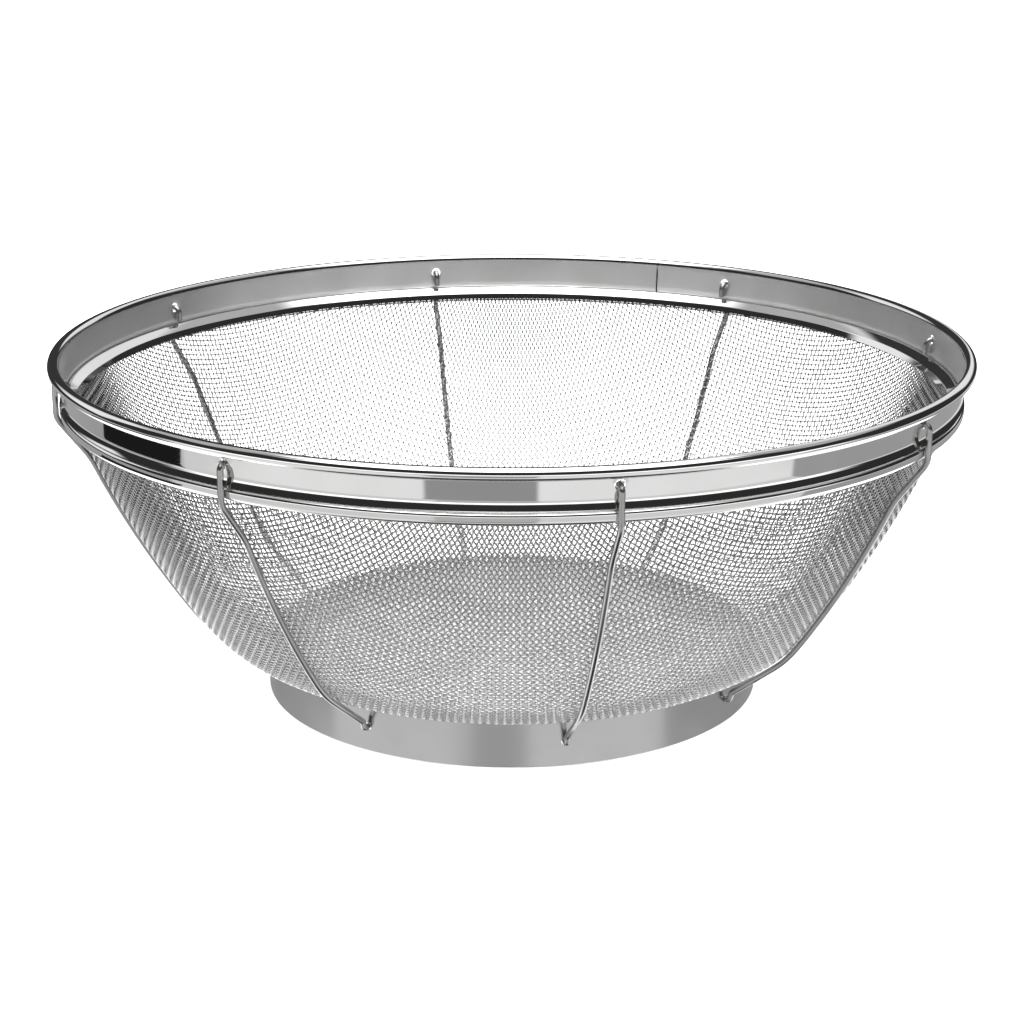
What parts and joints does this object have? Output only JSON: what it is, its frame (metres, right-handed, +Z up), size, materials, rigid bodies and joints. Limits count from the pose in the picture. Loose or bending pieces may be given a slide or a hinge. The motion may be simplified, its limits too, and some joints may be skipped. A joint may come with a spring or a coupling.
{
  "type": "wire mesh strainer",
  "caption": "Round woven wire strainer bowl gripped in a rolled metal rim and standing on a low foot ring that is tied to the rim by hooked wires.",
  "frame": {"origin": "centre of the foot ring's bottom edge, on the bowl's axis, at table height", "axes": "+Z up along the bowl's axis; +X and +Y through two support wires; the bowl is the same every 45 degrees about Z"},
  "size_m": [0.28, 0.28, 0.108],
  "materials": {
    "polished_steel": "bright rolled stainless strip, almost mirror smooth, with faint scuffs along the ring",
    "woven_steel": "plain woven stainless wire cloth, bright drawn wire, open squares",
    "foot_steel": "satin stainless strip with soft, cloudy reflections",
    "wire_steel": "satin drawn stainless wire"
  },
  "bodies": {
    "root": {"rim_band": "polished_steel", "clamp_ring": "polished_steel", "mesh_basket": "woven_steel", "foot_ring": "foot_steel", "support_wire_1": "wire_steel", "support_wire_2": "wire_steel", "support_wire_3": "wire_steel", "support_wire_4": "wire_steel", "support_wire_5": "wire_steel", "support_wire_6": "wire_steel", "support_wire_7": "wire_steel", "support_wire_8": "wire_steel"}
  },
  "joints": []
}
